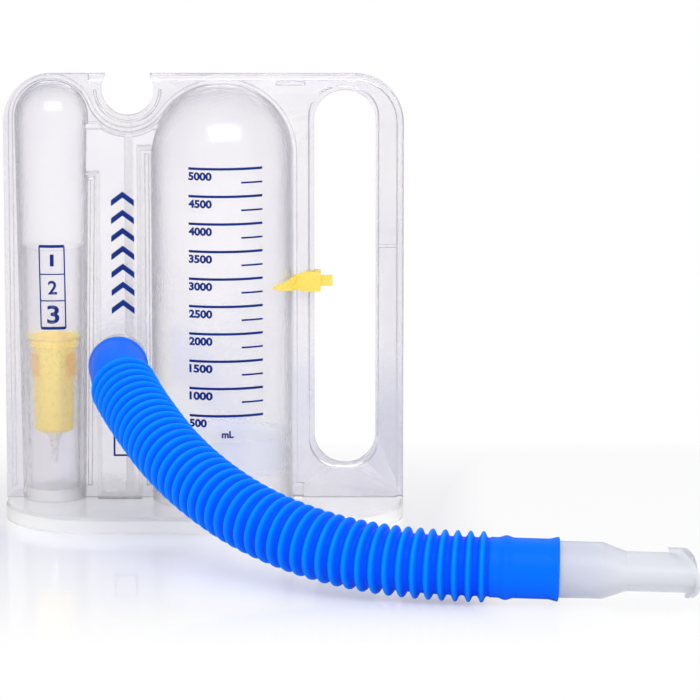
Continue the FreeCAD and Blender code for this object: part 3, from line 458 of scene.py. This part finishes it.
# %% [markdown]
# The piston, the float's stem and the mouthpiece are milky polypropylene. Subsurface scattering could make
# it, but it is slow and noisy behind clear walls. A half-clear, rather rough plastic looks much the same at
# this size. The mouthpiece's flat end is thinner than its round body, and looks paler.
# %% Milky plastics
# Where the mouthpiece's neck begins and ends, along the room's X
NECK_LEFT, NECK_RIGHT = 0.150, 0.166
LIP_WHITE = srgb(226, 228, 233)

piston_milk = clear_material("piston_polypropylene", srgb(246, 247, 252), srgb(238, 241, 250),
                             clearness=0.72, ior=1.25, smooth=0.3, rough=0.4, wave=0.2, scratch=0.1)
stem_milk = clear_material("stem_polypropylene", srgb(250, 250, 252), srgb(243, 243, 248),
                           clearness=0.35, ior=1.25, smooth=0.25, rough=0.35, wave=0.2, scratch=0.1)
mouth_milk = clear_material("milky_polypropylene", srgb(220, 222, 234), srgb(211, 215, 229),
                            clearness=0.45, ior=1.35, smooth=0.3, rough=0.42, wave=0.3, scratch=0.1)
mouth_axes = object_axes(mouth_milk.node_tree)
tint(mouth_milk, soft_rise(mouth_milk.node_tree, mouth_axes["X"], NECK_LEFT, NECK_RIGHT), LIP_WHITE)
dress(piston_milk, "volume_piston")
dress(stem_milk, "float_stem")
dress(mouth_milk, "mouthpiece")

# %% [markdown]
# The float is a translucent yellow cup. The two sides of its band are thick where the eye looks along them,
# so they show a deeper orange: a mask by place does that, without a piece of its own. Light also wanders
# about inside such a cup, and a faint even glow stands for it.
# %% Float
# The middle of the flow tube, where the float stands
FLOW_X = -0.0636
# The band's sides begin and are full this far from the cup's middle
BAND_BEGINS, BAND_FULL = 0.0047, 0.0056
BAND_LOW, BAND_TOP, BAND_BLUR = 0.0594, 0.0692, 0.0004
BAND_ORANGE, GLOW_YELLOW = srgb(240, 188, 10), srgb(240, 216, 60)
FLOAT_GLOW = 0.14


def band_mask(tree):
    """Mask of the band's two sides: the product of a step away from the middle and a window in height."""
    axes = object_axes(tree)
    aside = maths(tree, "ABSOLUTE", maths(tree, "SUBTRACT", axes["X"], FLOW_X))
    beside = soft_rise(tree, aside, BAND_BEGINS, BAND_FULL)
    above = soft_rise(tree, axes["Z"], BAND_LOW - BAND_BLUR, BAND_LOW + BAND_BLUR)
    below = soft_rise(tree, axes["Z"], BAND_TOP + BAND_BLUR, BAND_TOP - BAND_BLUR)
    return maths(tree, "MULTIPLY", maths(tree, "MULTIPLY", beside, above), below)


float_yellow = clear_material("float_yellow", srgb(246, 228, 66), srgb(242, 220, 54),
                              clearness=0.2, ior=1.3, smooth=0.25, rough=0.38, wave=0.2, scratch=0.05)
tint(float_yellow, band_mask(float_yellow.node_tree), BAND_ORANGE)
shader_inputs(float_yellow)["Emission Color"].default_value = GLOW_YELLOW
shader_inputs(float_yellow)["Emission Strength"].default_value = FLOAT_GLOW
dress(float_yellow, "flow_float")

# %% [markdown]
# The goal pointer is a small slider in a brighter yellow. A clear plastic would let the housing shine
# through it, so it is opaque. Its waves and scratches are weak, because on so small a piece they would look
# like damage.
# %% Goal pointer
pointer_yellow = opaque_material("pointer_yellow", srgb(252, 228, 108), srgb(248, 220, 92),
                                 gloss=0.5, smooth=0.25, rough=0.33, wave=0.03, scratch=0.02)
dress(pointer_yellow, "goal_pointer")

# %% [markdown]
# The hose leaves the port forwards, sinks to the table and runs off to the right. A chain of straight tubes
# would show its joints. So its line is a smooth spline over given control points, the same ones that
# the solid tube follows. Both round their corners off.
# %% Hose line
HOSE_POINTS = [(-35.3, -22, 66.4), (-35.3, -38.5, 66.4), (-29.2, -59, 59.6), (-20.5, -80, 51.4),
               (-10, -102, 42.8), (4.5, -123, 34), (22.5, -142.5, 25.9), (45, -158.2, 19.6),
               (66, -167.8, 16.2), (89, -174.2, 14.6), (115.6, -177.35, 14), (142, -177.9, 13.35)]
LINE_STEPS = 60
LINE_ORDER = 3


def read_points(mesh):
    """All points of a mesh, one row each."""
    points = np.empty(len(mesh.vertices) * 3)
    mesh.vertices.foreach_get("co", points)
    return points.reshape(-1, 3)


def spline_points(points, steps):
    """Points along the NURBS spline whose control points are given in millimetres. Order 3 with end points
    keeps the line inside the corners and makes it start and stop at its ends."""
    data = bpy.data.curves.new("hose_line", "CURVE")
    data.dimensions = "3D"
    data.resolution_u = steps
    spline = data.splines.new("NURBS")
    spline.points.add(len(points) - 1)
    spline.points.foreach_set("co", np.column_stack([np.array(points) * MM, np.ones(len(points))]).ravel())
    spline.order_u = LINE_ORDER
    spline.use_endpoint_u = True
    holder = bpy.data.objects.new("hose_line", data)
    mesh = bpy.data.meshes.new_from_object(holder)
    line = read_points(mesh)
    bpy.data.objects.remove(holder)
    bpy.data.curves.remove(data)
    bpy.data.meshes.remove(mesh)
    return line


hose_line = spline_points(HOSE_POINTS, LINE_STEPS)
hose_walk = np.concatenate([[0], np.cumsum(np.linalg.norm(np.diff(hose_line, axis=0), axis=1))])
hose_length = hose_walk[-1]
print("hose length, mm:", round(hose_length / MM, 1))

# %% [markdown]
# The hose is one moulding, a smooth cuff at each end and rings at an even pitch between them. The rings
# could be a bump in the finish, but they show at the outline, so they are real. The radius is a function of
# the length that is walked along the line, and this cell works out that profile, first for a cuff and then
# for the whole.
# %% Hose profile
CUFF_LENGTH, CUFF_RADIUS, CUFF_BORE = 0.027, 0.01175, 0.0112
CUFF_STEPS = 60
# The flare at a cuff's open end and the rounding of its edge
FLARE_LENGTH, FLARE_RADIUS = 0.0045, 0.01255
EDGE, EDGE_STEPS = 0.0006, 5
# The soft bulge that the far cuff has near its first ring
BULGE_AT, BULGE_WIDE, BULGE_RISE = 0.0205, 0.0065, 0.0008
CREST_RADIUS, VALLEY_RADIUS = 0.01385, 0.0114
PITCH, STEPS_PER_RING = 0.0051, 16
# The power of a ring's wave at the port and at the far end, and the share of the smooth step in it
RING_SHARPNESS, RING_STEEPNESS = (0.9, 1.5), 0.7


def cuff_profile(bulge):
    """Walked lengths and radii of a cuff from its open end inwards. The end flares by half a cosine wave,
    its edge is rounded by a quarter circle, and a whole cosine wave of the given height makes the bulge."""
    walk = np.concatenate([np.linspace(0, EDGE, EDGE_STEPS),
                           np.linspace(EDGE, CUFF_LENGTH - EDGE, CUFF_STEPS)[1:]])
    flare = np.where(walk < FLARE_LENGTH, 0.5 + 0.5 * np.cos(np.pi * walk / FLARE_LENGTH), 0)
    hump = np.where(abs(walk - BULGE_AT) < BULGE_WIDE / 2,
                    0.5 + 0.5 * np.cos(2 * np.pi * (walk - BULGE_AT) / BULGE_WIDE), 0)
    short = np.clip(1 - walk / EDGE, 0, 1)
    rounding = EDGE * (1 - np.sqrt(1 - short ** 2))
    radius = CUFF_RADIUS + (FLARE_RADIUS - CUFF_RADIUS) * flare + bulge * hump - rounding
    return np.concatenate([[0], walk]), np.concatenate([[CUFF_BORE], radius])


def hose_profile(length):
    """Walked lengths and radii. A ring is a raised cosine to a power that grows from the port to the far
    end, so the first rings are broad and the last ones narrow. The smooth step s * s * (3 - 2 * s) is mixed
    in, which rounds the crest and the valley and steepens the flanks between them. Only the far cuff has a
    bulge."""
    rings = round((length - 2 * CUFF_LENGTH) / PITCH)
    turns = np.arange(rings * STEPS_PER_RING + 1) / STEPS_PER_RING
    sharpness = np.interp(turns / rings, (0, 1), RING_SHARPNESS)
    plain = (0.5 - 0.5 * np.cos(2 * np.pi * turns)) ** sharpness
    wave = plain + RING_STEEPNESS * (plain * plain * (3 - 2 * plain) - plain)
    body_walk = CUFF_LENGTH + turns / rings * (length - 2 * CUFF_LENGTH)
    body_radius = VALLEY_RADIUS + (CREST_RADIUS - VALLEY_RADIUS) * wave
    near_walk, near_radius = cuff_profile(0)
    far_walk, far_radius = cuff_profile(BULGE_RISE)
    walk = np.concatenate([near_walk, body_walk, length - far_walk[::-1]])
    radius = np.concatenate([near_radius, body_radius, far_radius[::-1]])
    return walk, radius, rings


hose_walked, hose_radius, hose_rings = hose_profile(hose_length)
print("hose rings:", hose_rings)

# %% [markdown]
# The surface is that profile carried along the line. A bevelled curve could carry a round tube, but it
# takes a radius only at its control points, and the rings need many more. So the points are worked out:
# each row is a circle across the line's direction. One spoke of it stays level, which is enough for a line
# that is never upright.
# %% Hose surface
AROUND = 72


def along(line, walked, walk):
    """Centre and unit direction at each walked length: both are read by linear interpolation."""
    centre = np.column_stack([np.interp(walk, walked, line[:, axis]) for axis in range(3)])
    step = np.gradient(line, walked, axis=0)
    ahead = np.column_stack([np.interp(walk, walked, step[:, axis]) for axis in range(3)])
    return centre, ahead / np.linalg.norm(ahead, axis=1, keepdims=True)


def tube_mesh(name, points):
    """Smooth mesh of a grid of points, rows by columns: each cell is a quad, and the last column joins the
    first."""
    rows, columns = points.shape[:2]
    row, column = np.meshgrid(np.arange(rows - 1), np.arange(columns), indexing="ij")
    beside = (column + 1) % columns
    quads = np.stack([row * columns + column, row * columns + beside, (row + 1) * columns + beside,
                      (row + 1) * columns + column], axis=-1).reshape(-1, 4)
    mesh = bpy.data.meshes.new(name)
    mesh.from_pydata(points.reshape(-1, 3).tolist(), [], quads.tolist())
    mesh.polygons.foreach_set("use_smooth", np.ones(len(quads), dtype=bool))
    mesh.update()
    return mesh


def add_piece(name, mesh, body, material):
    """A new object that rides on a body."""
    piece = bpy.data.objects.new(name, mesh)
    bpy.context.collection.objects.link(piece)
    mesh.materials.append(material)
    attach(piece, body)
    return piece


hose_centre, hose_ahead = along(hose_line, hose_walk, hose_walked)
level = np.cross(hose_ahead, (0, 0, 1))
level /= np.linalg.norm(level, axis=1, keepdims=True)
upright = np.cross(level, hose_ahead)
angle = np.arange(AROUND) / AROUND * 2 * np.pi
spoke = level[:, None] * np.cos(angle)[None, :, None] + upright[:, None] * np.sin(angle)[None, :, None]
hose_mesh = tube_mesh("hose", hose_centre[:, None] + hose_radius[:, None, None] * spoke)
print("hose faces:", len(hose_mesh.polygons))

# %% [markdown]
# The hose is blue all over, but its grooves get a painted shade, a deeper blue, because light goes to and
# fro between the rings. Ambient occlusion could find that shade anew for each picture. It is simpler to
# store how deep a point lies with the point, as an attribute that the finish reads as its share of painted
# shade. The hose stands for three imported nodes, the tube and its two cuffs.
# %% Hose finish with painted groove shade
# Share of the painted groove shade on both cuffs, from 0 at a crest to 1 in a valley
CUFF_SHADE_SHARE = 0.6
GROOVE_SHADE_BLUE = srgb(0, 84, 244)

# Painted shade: how deep each ring of points lies is its share of the deeper groove blue, and the cuffs get
# a fixed share
depth = np.clip((CREST_RADIUS - hose_radius) / (CREST_RADIUS - VALLEY_RADIUS), 0, 1)
depth[(hose_walked < CUFF_LENGTH) | (hose_walked > hose_length - CUFF_LENGTH)] = CUFF_SHADE_SHARE
hose_mesh.attributes.new("groove_shade", "FLOAT", "POINT").data.foreach_set("value", np.repeat(depth, AROUND))
hose_blue = opaque_material("hose_blue", srgb(0, 138, 255), srgb(0, 131, 255),
                            gloss=0.05, smooth=0.34, rough=0.46, wave=0.12, scratch=0.08)
groove_shade = add_node(hose_blue.node_tree, "ShaderNodeAttribute", attribute_name="groove_shade")
tint(hose_blue, groove_shade.outputs["Fac"], GROOVE_SHADE_BLUE)
hose = add_piece("hose", hose_mesh, "housing", hose_blue)
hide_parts("hose_tube", "hose_cuff_housing", "hose_cuff_mouthpiece")
print("hose finish:", hose_blue.name)

# %% [markdown]
# The print is a navy ink. A picture on the plastic would do, but it would blur close by, so the print is
# thin flat geometry, six hundredths of a millimetre above the plastic. Lines are narrow bands and numbers
# are flat text. Both are drawn flat first, as (across, height), and are wrapped round a tube after that.
# %% Ink
INK_LIFT = 0.00006
LINE_CELLS = 24
TEXT_STEPS = 4

navy = opaque_material("navy_ink", srgb(0, 34, 116), srgb(4, 44, 130),
                       gloss=0.2, smooth=0.4, rough=0.55, wave=0.1, scratch=0.1)


def flat_line(left, right, height, thick):
    """Thin level band, as two rows of points."""
    across = np.linspace(left, right, LINE_CELLS + 1)
    points = np.concatenate([np.column_stack([across, np.full(LINE_CELLS + 1, height - thick / 2)]),
                             np.column_stack([across, np.full(LINE_CELLS + 1, height + thick / 2)])])
    start = np.arange(LINE_CELLS)
    faces = np.column_stack([start, start + 1, start + LINE_CELLS + 2, start + LINE_CELLS + 1])
    return points, faces.tolist()


def flat_text(words, left, base, high, wide, weight):
    """Text as flat points and faces. Its lower left corner is at (left, base), and it is scaled to a height
    and a width."""
    data = bpy.data.curves.new("words", "FONT")
    data.body = words
    data.offset = weight
    data.resolution_u = TEXT_STEPS
    holder = bpy.data.objects.new("words", data)
    mesh = bpy.data.meshes.new_from_object(holder)
    points = read_points(mesh)[:, :2]
    faces = [list(face.vertices) for face in mesh.polygons]
    bpy.data.objects.remove(holder)
    bpy.data.curves.remove(data)
    bpy.data.meshes.remove(mesh)
    low, top = points.min(axis=0), points.max(axis=0)
    return (points - low) / (top - low) * (wide, high) + (left, base), faces


def join_flat(shapes):
    """Joins (points, faces) pairs into one pair."""
    points, faces, start = [], [], 0
    for shape_points, shape_faces in shapes:
        points.append(shape_points)
        faces += [[start + corner for corner in face] for face in shape_faces]
        start += len(shape_points)
    return np.vstack(points), faces


def wrap(points, centre_x, radius):
    """Bends flat points round an upright tube: across becomes an angle of across over radius, counted from
    the front. The radius is one number, or one for each point where the tube is tapered."""
    turn = points[:, 0] / radius
    return np.column_stack([centre_x + radius * np.sin(turn), -radius * np.cos(turn), points[:, 1]])


def ink_piece(name, points, faces):
    """One piece of print on the housing."""
    mesh = bpy.data.meshes.new(name)
    mesh.from_pydata(points.tolist(), [], faces)
    mesh.update()
    add_piece(name, mesh, "housing", navy)
    print(name, "faces:", len(faces))


print("ink:", navy.name, "lifted by, mm:", INK_LIFT / MM)

# %% [markdown]
# The wide cylinder has the scale of the volume: ten long lines with their numbers below them, a short line
# halfway to the next, and the unit. A loop draws them, because they stand at an even step.
# %% Print on the cylinder
# Middle and outer radius of the cylinder, and the scale's heights
VOLUME_X, VOLUME_RADIUS = 0.00735, 0.02955
SCALE_ZERO, SCALE_STEP, SCALE_LINES = 0.035, 0.0115, 10
VOLUME_STEP = 500
# Ends of the lines, in degrees from the front
LINE_LEFT, LINE_RIGHT, SHORT_LEFT = -26.0, 36.5, 17.5
LONG_THICK, SHORT_THICK = 0.00105, 0.00075
# A number's foot below its line, its height, the width of one digit, and how much its strokes are thickened
DIGIT_DROP, DIGIT_HIGH, DIGIT_WIDE, DIGIT_WEIGHT = 0.0049, 0.0035, 0.00255, 0.045
UNIT_LEFT, UNIT_RISE, UNIT_HIGH, UNIT_WIDE = 0.0005, 0.0022, 0.003, 0.005


def volume_scale():
    """Lines and numbers by height, and the unit above the scale's zero."""
    degree = math.radians(1) * VOLUME_RADIUS
    left, right, short_left = LINE_LEFT * degree, LINE_RIGHT * degree, SHORT_LEFT * degree
    shapes = []
    for count in range(1, SCALE_LINES + 1):
        height = SCALE_ZERO + count * SCALE_STEP
        digits = str(VOLUME_STEP * count)
        shapes.append(flat_line(left, right, height, LONG_THICK))
        shapes.append(flat_text(digits, left, height - DIGIT_DROP, DIGIT_HIGH, DIGIT_WIDE * len(digits),
                                DIGIT_WEIGHT))
        if count < SCALE_LINES:
            shapes.append(flat_line(short_left, right, height + SCALE_STEP / 2, SHORT_THICK))
    shapes.append(flat_text("mL", UNIT_LEFT, SCALE_ZERO + UNIT_RISE, UNIT_HIGH, UNIT_WIDE, DIGIT_WEIGHT))
    return shapes


scale_flat, scale_faces = join_flat(volume_scale())
scale_points = wrap(scale_flat, VOLUME_X, VOLUME_RADIUS + INK_LIFT)
ink_piece("volume_scale_print", scale_points, scale_faces)

# %% [markdown]
# The narrow tube has a small ladder of three boxes, with plain numbers that grow towards the foot. The tube
# is tapered, so each point is wrapped by the radius at its own height.
# %% Print on the flow tube
# Heights of the tube's foot and dome, and its outer radii there
FLOW_FOOT, FLOW_DOME = 0.0067, 0.1683
FLOW_FOOT_RADIUS, FLOW_DOME_RADIUS = 0.0133, 0.0155
# Height and thickness of the ladder's level lines, and half the thickness of its sides
LADDER_HEIGHTS, LADDER_THICK = (0.0811, 0.0927, 0.1039, 0.1157), (0.0012, 0.0005, 0.0005, 0.0012)
SIDE_HALF = 0.0003
# Left and right edge of the ladder at its lowest and its highest line: it narrows and leans a little
LADDER_FOOT, LADDER_TOP = (-0.0043, 0.0062), (-0.0049, 0.0057)
# Number, height and width as a share of the height, from the highest box down
LADDER_NUMBERS = (("1", 0.005, 0.32), ("2", 0.0058, 0.66), ("3", 0.0078, 0.66))
NUMBER_WEIGHT = 0.02


def ladder_edges(height):
    """Left and right edge at a height, by a straight share between foot and top."""
    share = (height - LADDER_HEIGHTS[0]) / (LADDER_HEIGHTS[-1] - LADDER_HEIGHTS[0])
    return [low + share * (top - low) for low, top in zip(LADDER_FOOT, LADDER_TOP)]


def ladder():
    """Four level lines, two upright lines, and a number in the middle of each box."""
    shapes = [flat_line(*ladder_edges(height), height, thick)
              for height, thick in zip(LADDER_HEIGHTS, LADDER_THICK)]
    low, top = LADDER_HEIGHTS[0], LADDER_HEIGHTS[-1]
    for below, above in zip(ladder_edges(low), ladder_edges(top)):
        corners = [(below - SIDE_HALF, low), (below + SIDE_HALF, low), (above + SIDE_HALF, top),
                   (above - SIDE_HALF, top)]
        shapes.append((np.array(corners), [[0, 1, 2, 3]]))
    downwards = LADDER_HEIGHTS[::-1]
    for (number, high, share), ceiling, floor in zip(LADDER_NUMBERS, downwards, downwards[1:]):
        wide = high * share
        middle = sum(ladder_edges((floor + ceiling) / 2)) / 2
        shapes.append(flat_text(number, middle - wide / 2, (floor + ceiling - high) / 2, high, wide,
                                NUMBER_WEIGHT))
    return shapes


def flow_radius(height):
    """The flow tube's radius at a height, by a straight share between its foot and its dome."""
    share = (height - FLOW_FOOT) / (FLOW_DOME - FLOW_FOOT)
    return FLOW_FOOT_RADIUS + share * (FLOW_DOME_RADIUS - FLOW_FOOT_RADIUS)


ladder_flat, ladder_faces = join_flat(ladder())
ladder_points = wrap(ladder_flat, FLOW_X, flow_radius(ladder_flat[:, 1]) + INK_LIFT)
ink_piece("ladder_print", ladder_points, ladder_faces)

# %% [markdown]
# The channel between the tubes is flat in front. It has a column of plain arrowheads that point up, the way
# the float rises, and an empty frame below them, half hidden by the hose. Nothing is wrapped here: the
# print only stands in front of the channel's face.
# %% Print on the channel
# Where the channel's face stands in depth
CHANNEL_FRONT = -0.006
ARROW_X, ARROW_LOW, ARROW_STEP, ARROWS = -0.0339, 0.0858, 0.0076, 7
ARROW_HALF, ARROW_RISE, ARROW_THICK = 0.0048, 0.0036, 0.0026
FRAME_LEFT, FRAME_RIGHT, FRAME_LOW, FRAME_TOP = -0.0384, -0.0286, 0.0252, 0.0352
FRAME_LINE = 0.0008


def arrowhead(low):
    """Upward chevron as two slanted quads that share their middle edge."""
    lower = np.array([(ARROW_X - ARROW_HALF, low), (ARROW_X, low + ARROW_RISE),
                      (ARROW_X + ARROW_HALF, low)])
    return np.vstack([lower, lower + (0, ARROW_THICK)]), [[0, 1, 4, 3], [1, 2, 5, 4]]


def empty_frame():
    """Frame with four mitred sides."""
    outer = np.array([(FRAME_LEFT, FRAME_LOW), (FRAME_RIGHT, FRAME_LOW), (FRAME_RIGHT, FRAME_TOP),
                      (FRAME_LEFT, FRAME_TOP)])
    inward = np.array([(1, 1), (-1, 1), (-1, -1), (1, -1)]) * FRAME_LINE
    faces = [[side, (side + 1) % 4, 4 + (side + 1) % 4, 4 + side] for side in range(4)]
    return np.vstack([outer, outer + inward]), faces


arrowheads = [arrowhead(ARROW_LOW + count * ARROW_STEP) for count in range(ARROWS)]
channel_flat, channel_faces = join_flat([*arrowheads, empty_frame()])
channel_points = np.insert(channel_flat, 1, CHANNEL_FRONT - INK_LIFT, axis=1)
ink_piece("channel_print", channel_points, channel_faces)
